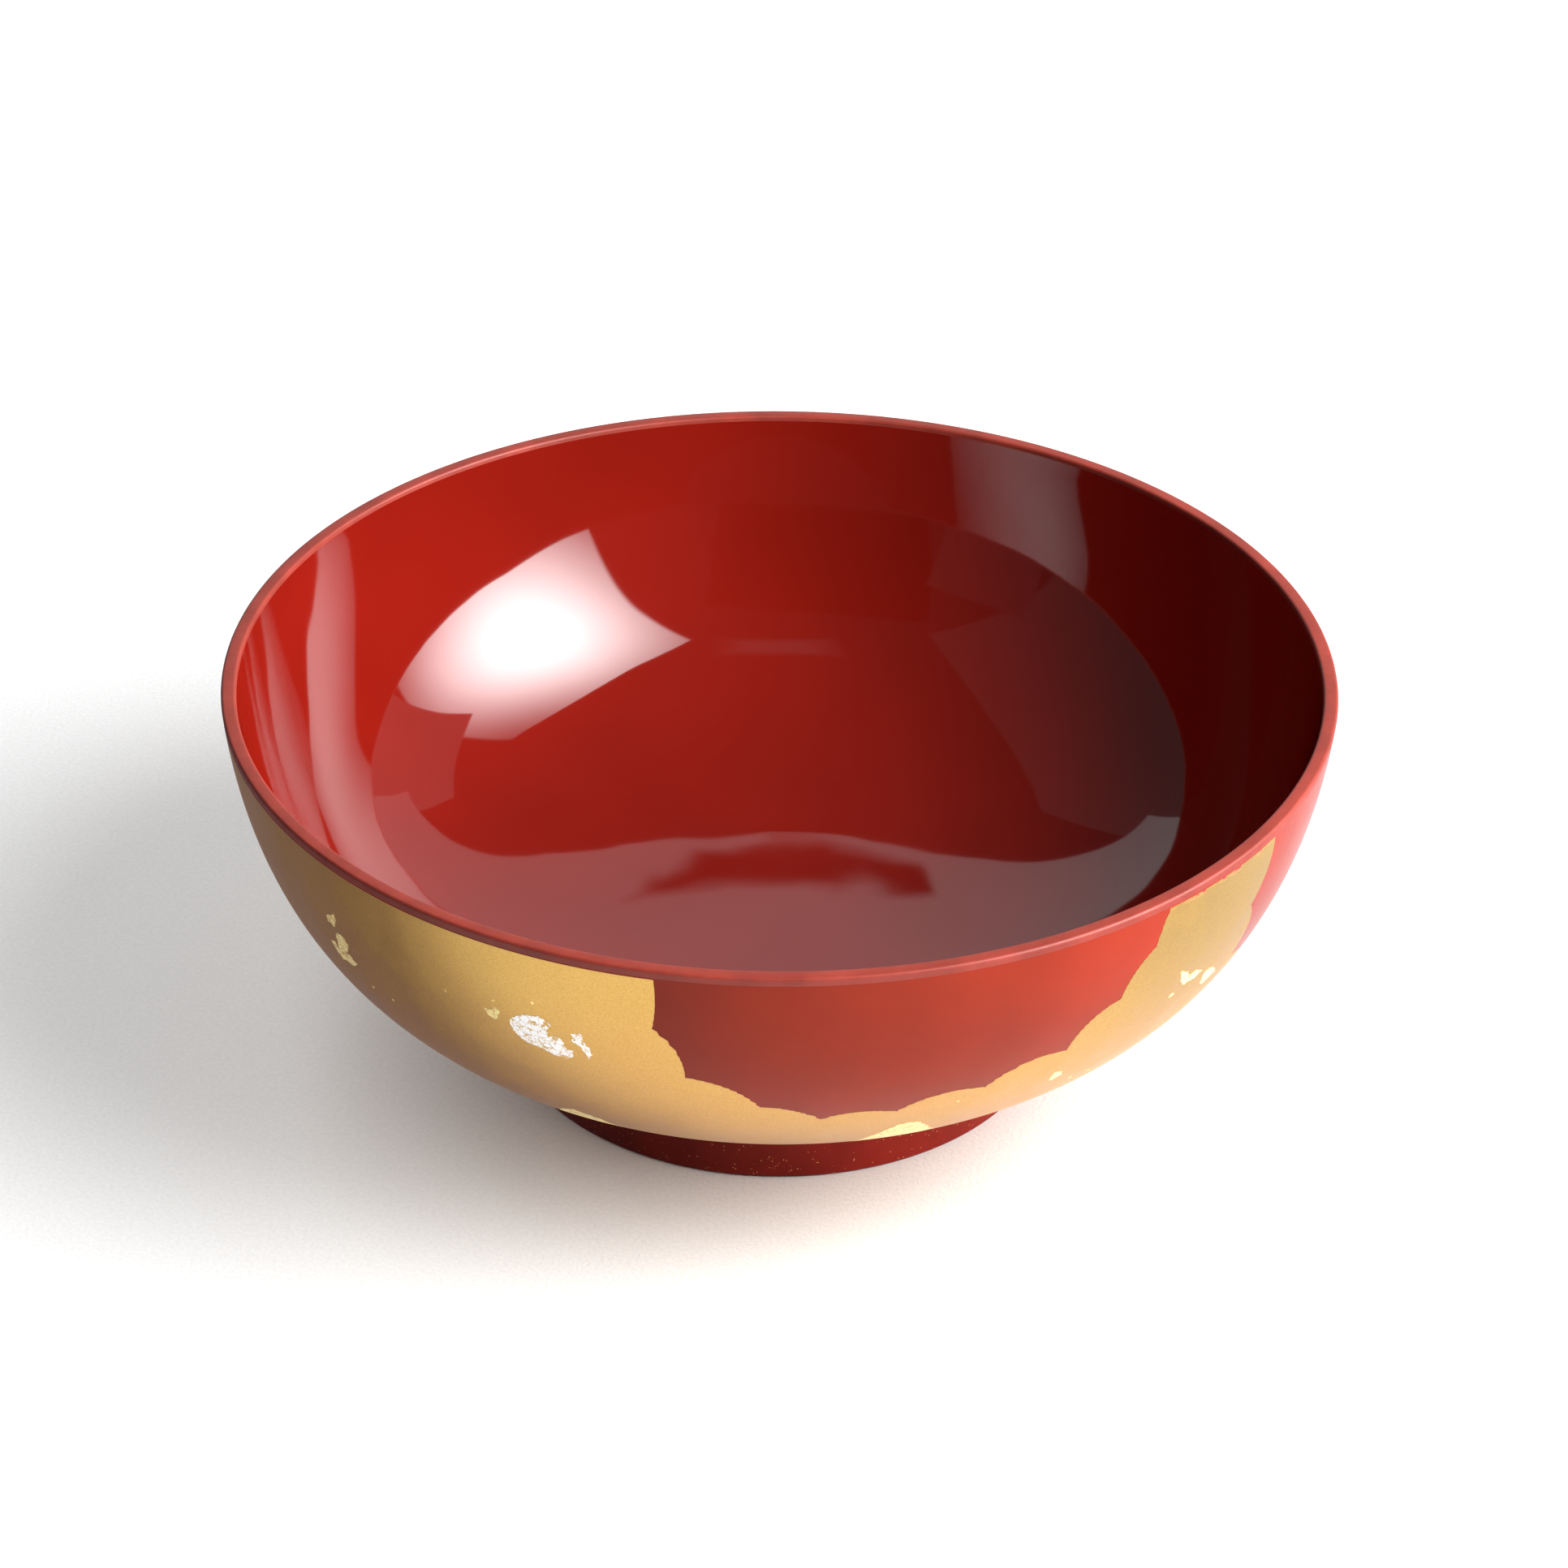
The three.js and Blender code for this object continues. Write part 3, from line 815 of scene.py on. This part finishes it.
class BOWL_OT_leaf(Operator):
    """Lay the torn scraps of silver and gold leaf, and the loose flecks"""
    bl_idname = "bowl.leaf"
    bl_label = "Leaf"

    def scrap(self, sizes, name, outline):
        """A torn piece out of a thin skin that lies on the ground."""
        line, ends = surface_line(sizes)
        low = min(height for _, height in outline) * MM - SKIN_MARGIN
        high = max(height for _, height in outline) * MM + SKIN_MARGIN
        left = min(azimuth for azimuth, _ in outline) - 1
        right = max(azimuth for azimuth, _ in outline) + 1
        near = -(sizes.ground - 0.01 * MM)
        far = -(sizes.ground + sizes.leaf)
        outer = moved_in(line, far)[ends["lip"]:ends["outside"] + 1]
        inner = moved_in(line, near)[ends["lip"]:ends["outside"] + 1]
        kept = [i for i, at in enumerate(outer) if low < at.y < high]
        start, end = kept[0], kept[-1] + 1
        profile = outer[start:end] + inner[start:end][::-1]
        profile.append(profile[0].copy())
        skin = turned(name, profile, SKIN_ROUNDS, left, right - left)
        reach = sizes.rim_radius
        cut(skin, prism(f"{name}_outline", outline, 0.4 * reach, 1.3 * reach), "INTERSECT")
        return skin

    def execute(self, context):
        sizes = context.scene.bowl_sizes
        colours = context.scene.bowl_colours
        rng = random.Random(7)
        finishes = {
            "silver": (leaf("silver_leaf", colours.silver, colours.gold, 0.36, 0.3),
                       "silver_leaf"),
            "gold": (leaf("pale_gold_leaf", colours.pale_gold, colours.gold, 0.2, 0.35),
                     "pale_gold_leaf"),
        }
        for name, (finish, ragged, outline) in SCRAPS.items():
            piece = self.scrap(sizes, f"laid_{name}", torn(outline, rng, ragged))
            finished(piece, *finishes[finish], name)
        for number, (azimuth, height, width) in enumerate(FLECKS, 1):
            outline = []
            for step in range(7):
                angle = math.tau * step / 7
                reach = width * rng.uniform(0.3, 0.6)
                outline.append((
                    azimuth + math.degrees(reach * math.cos(angle) / UNROLLED),
                    height + reach * math.sin(angle),
                ))
            outline.reverse()
            piece = self.scrap(sizes, f"leaf_fleck_{number:02d}", outline)
            finished(piece, *finishes["gold"])
        return {"FINISHED"}


class BOWL_OT_stage(Operator):
    """Set up the paper floor, the studio light and the camera"""
    bl_idname = "bowl.stage"
    bl_label = "Stage"

    def aimed(self, azimuth, elevation, distance, shift=(0, 0)):
        """Where something stands that faces the bowl, and how it is turned. It can be moved
        sideways and upwards in its own plane."""
        tilt = math.radians(elevation)
        out = place(distance * math.cos(tilt), azimuth, distance * math.sin(tilt))
        facing = out.to_track_quat("Z", "Y")
        return out + BOWL_MIDDLE + facing @ Vector((*shift, 0)), facing

    def plane(self, name, size, location=(0, 0, 0)):
        """A flat piece of the stage that faces up."""
        bpy.ops.object.select_all(action="DESELECT")
        bpy.ops.mesh.primitive_plane_add(size=size, location=location)
        made = bpy.context.object
        made.name = name
        bpy.ops.object.transform_apply(location=True, rotation=False, scale=False)
        return made

    def staged(self, made, material, unseen_by=()):
        """Gives a piece of the stage its material and hides it from some kinds of ray."""
        made.data.materials.append(material)
        for ray in unseen_by:
            setattr(made, f"visible_{ray}", False)

    def panel(self, name, width, height, azimuth, elevation, distance, strength, soft):
        """A lit panel that faces the bowl, seen only in what it lights and in reflections. Its
        edges fade out over the share of its width and height given as soft."""
        made = self.plane(name, 1)
        bpy.ops.object.mode_set(mode="EDIT")
        bpy.ops.mesh.select_all(action="SELECT")
        bpy.ops.transform.resize(value=(width, height, 1))
        bpy.ops.object.mode_set(mode="OBJECT")
        made.location, facing = self.aimed(azimuth, elevation, distance)
        made.rotation_euler = facing.to_euler()
        bpy.ops.object.transform_apply(location=True, rotation=True, scale=True)
        self.staged(made, glow(name, strength, soft), ("camera", "shadow"))

    def lit_floor(self, name, rgb):
        """The lit floor on the key light's side, as the wall of the bowl mirrors it."""
        made = self.plane(name, 0.9, (0.51, 0, CARD_HEIGHT))
        finish = Finish(name)
        fade = finish.spread(finish.along("X"), 0.06, 0.12)
        surface = finish.faded(fade, finish.clear(), finish.glowing(rgb))
        self.staged(made, finish.shown_as(surface), ("camera", "diffuse", "shadow"))

    def shade(self, name, rgb):
        """The floor in the bowl's own shadow, as the wall of the bowl sees it. The shadow runs
        away from the key light, and its front edge is a soft line."""
        made = self.plane(name, 1.3, (-0.60, 0, CARD_HEIGHT))
        finish = Finish(name)
        across = finish.add("ShaderNodeVectorMath", {
            0: finish.coordinates, 1: (0.28, -0.96, 0),
        }, operation="DOT_PRODUCT").outputs["Value"]
        front = finish.spread(across, 0.030, 0.070)
        side = finish.spread(finish.along("X"), -0.05, -0.01)
        fade = finish.maths("MAXIMUM", front, side)
        surface = finish.faded(fade, finish.glowing(rgb), finish.clear())
        self.staged(made, finish.shown_as(surface), ("camera", "diffuse", "shadow"))

    def surround(self, name, radius, height, strength):
        """A pale wall round the stage, seen only behind the bowl from low down."""
        bpy.ops.object.select_all(action="DESELECT")
        bpy.ops.mesh.primitive_cylinder_add(
            vertices=96, radius=radius, depth=height, location=(0, 0, height / 2),
            end_fill_type="NOTHING",
        )
        made = bpy.context.object
        made.name = name
        self.staged(made, glow(name, strength),
                    ("diffuse", "glossy", "transmission", "volume_scatter", "shadow"))

    def soft_box(self, name, width, height, azimuth, elevation, distance, radiance, lights,
                 shift=(0, 0), hot=None, spread=(0.47, 0.57), narrowing=0.0, lean=0.0):
        """A soft box that faces the bowl and lights the things in one collection. Where hot is
        given it is brightest there, and its sides lean in towards its top."""
        data = bpy.data.lights.new(name, "AREA")
        data.shape = "RECTANGLE"
        data.size = width
        data.size_y = height
        data.energy = radiance * math.pi * width * height
        made = bpy.data.objects.new(name, data)
        bpy.context.scene.collection.objects.link(made)
        made.location, facing = self.aimed(azimuth, elevation, distance, shift)
        made.rotation_euler = facing.to_euler()
        made.light_linking.receiver_collection = lights
        made.visible_camera = False
        if hot is None:
            return
        data.use_nodes = True
        nodes = Nodes(data.node_tree)
        light = nodes.tree.nodes["Emission"]
        at = nodes.add("ShaderNodeNewGeometry").outputs["Position"]
        middle, _ = self.aimed(azimuth, elevation, distance, hot)
        centre, _ = self.aimed(azimuth, elevation, distance, shift)

        def measured(start, direction):
            away = nodes.add("ShaderNodeVectorMath", {0: at, 1: start}, operation="SUBTRACT")
            return nodes.add("ShaderNodeVectorMath", {
                0: away.outputs["Vector"], 1: facing @ Vector(direction),
            }, operation="DOT_PRODUCT").outputs["Value"]

        squares = []
        for direction, reach in (((1, 0, 0), spread[0]), ((0, 1, 0), spread[1])):
            share = nodes.maths("DIVIDE", measured(middle, direction), reach)
            squares.append(nodes.maths("MULTIPLY", share, share))
        fall = nodes.maths("MULTIPLY", nodes.maths("ADD", *squares), -1.0)
        bright = nodes.maths("EXPONENT", fall, 0.0)
        height_up = measured(centre, (0, 1, 0))
        leaning = nodes.maths("MULTIPLY", height_up, lean)
        side = nodes.maths("SUBTRACT", measured(centre, (1, 0, 0)), leaning)
        side = nodes.maths("ABSOLUTE", side, 0.0)
        up = nodes.maths("MULTIPLY", height_up, narrowing)
        edge = nodes.maths("SUBTRACT", width / 2 - narrowing * height / 2,
                            nodes.maths("ADD", side, up))
        cloth = nodes.spread(edge, 0.0, CLOTH_EDGE)
        nodes.tree.links.new(nodes.maths("MULTIPLY", bright, cloth), light.inputs["Strength"])

    def execute(self, context):
        scene = context.scene
        scene.view_settings.view_transform = "Standard"
        floor = self.plane("paper_floor", 8)
        self.staged(floor, paper(scene.bowl_colours.floor))

        world = bpy.data.worlds.new("studio")
        world.use_nodes = True
        sky = world.node_tree.nodes["Background"].inputs
        sky["Color"].default_value = (1, 1, 1, 1)
        sky["Strength"].default_value = SKY
        scene.world = world

        bowl = bpy.data.collections.new("lit_bowl")
        for piece in scene.objects:
            if piece.type == "MESH" and piece is not floor and not piece.hide_render:
                bowl.objects.link(piece)
        ground = bpy.data.collections.new("lit_floor")
        ground.objects.link(floor)
        self.soft_box("key_soft_box", 1.14, 1.06, 72, 31, 0.9, 26.5, bowl,
                      shift=(0.06, 0.06), hot=(-0.04, 0.03), spread=(0.40, 0.50),
                      narrowing=0.10, lean=0.05)
        self.soft_box("key_on_floor", 1.12, 1.06, 71, 31, 0.9, 13, ground,
                      shift=(0.05, 0.06), hot=(0.02, 0.02), narrowing=0.14)
        self.soft_box("fill_on_floor", 1.7, 1.5, -80, 52, 1.3, 2.3, ground)
        for name, *numbers in PANELS:
            self.panel(name, *numbers)
        self.shade("floor_shade", (0.27, 0.22, 0.25))
        self.lit_floor("bright_floor", (1.15, 1.15, 1.2))
        self.surround("studio_wall", 1.0, 1.4, 0.97)

        camera = bpy.data.cameras.new("camera")
        camera.lens = LENS
        camera.sensor_width = 36
        camera.clip_start = 0.02
        camera.clip_end = 20
        eye = bpy.data.objects.new("camera", camera)
        scene.collection.objects.link(eye)
        eye.location = EYE
        eye.rotation_euler = (math.radians(EYE_TILT), 0, 0)
        eye.rotation_euler.rotate_axis("Z", math.radians(EYE_ROLL))
        scene.camera = eye
        return {"FINISHED"}


class BOWL_PT_panel(Panel):
    """Sizes, colours and steps of the bowl"""
    bl_label = "Lacquered bowl"
    bl_idname = "BOWL_PT_panel"
    bl_space_type = "VIEW_3D"
    bl_region_type = "UI"
    bl_category = "Bowl"

    def draw(self, context):
        layout = self.layout
        for group in (context.scene.bowl_sizes, context.scene.bowl_colours):
            box = layout.box()
            for name in group.__annotations__:
                box.prop(group, name)
        for step in STEPS:
            layout.operator(step.bl_idname)


STEPS = (
    BOWL_OT_wood_core,
    BOWL_OT_inside,
    BOWL_OT_lip,
    BOWL_OT_outside,
    BOWL_OT_foot,
    BOWL_OT_gold_ground,
    BOWL_OT_leaf,
    BOWL_OT_stage,
)
CLASSES = (BowlSizes, BowlColours, *STEPS, BOWL_PT_panel)


def register():
    for each in CLASSES:
        bpy.utils.register_class(each)
    bpy.types.Scene.bowl_sizes = PointerProperty(type=BowlSizes)
    bpy.types.Scene.bowl_colours = PointerProperty(type=BowlColours)


def unregister():
    del bpy.types.Scene.bowl_colours
    del bpy.types.Scene.bowl_sizes
    for each in reversed(CLASSES):
        bpy.utils.unregister_class(each)


def main():
    register()
    bpy.ops.bowl.wood_core()
    bpy.ops.bowl.inside()
    bpy.ops.bowl.lip()
    bpy.ops.bowl.outside()
    bpy.ops.bowl.foot()
    bpy.ops.bowl.gold_ground()
    bpy.ops.bowl.leaf()
    bpy.ops.bowl.stage()


if __name__ == "__main__":
    main()
